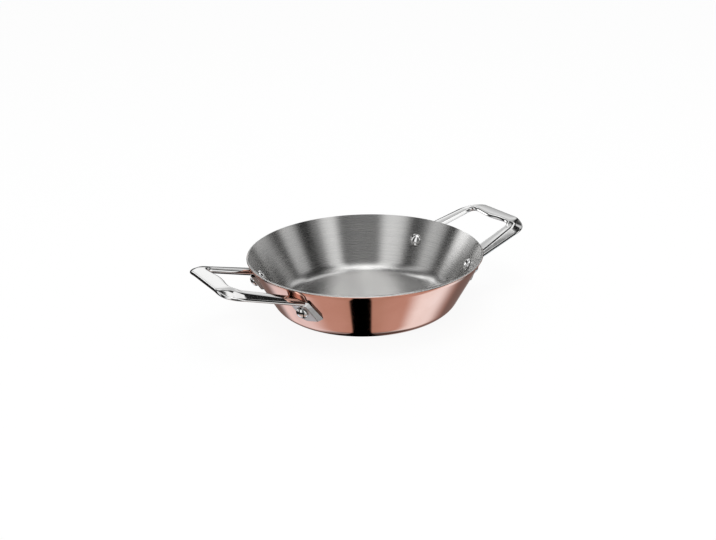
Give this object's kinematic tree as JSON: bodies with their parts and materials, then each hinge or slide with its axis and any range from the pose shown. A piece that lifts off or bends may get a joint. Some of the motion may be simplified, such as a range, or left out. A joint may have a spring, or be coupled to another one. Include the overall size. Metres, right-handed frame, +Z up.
{
  "type": "paella pan",
  "caption": "Small copper-clad paella pan with flared walls, a flat base, a brushed steel inside and riveted cast loop handles at its ends.",
  "frame": {"origin": "centre of the base, on the surface that the pan stands on", "axes": "+Z up out of the pan's mouth, +X towards the right handle, +Y across the pan"},
  "size_m": [0.2944, 0.2, 0.056],
  "materials": {
    "copper": "polished copper",
    "core": "cut edge, satin",
    "lining": "brushed in rings",
    "handle": "polished cast steel",
    "rivet": "polished steel"
  },
  "bodies": {
    "root": {"copper_skin": "copper", "aluminium_core": "core", "steel_lining": "lining", "right_handle": "handle", "left_handle": "handle", "right_first_rivet": "rivet", "right_second_rivet": "rivet", "left_first_rivet": "rivet", "left_second_rivet": "rivet"}
  },
  "joints": []
}
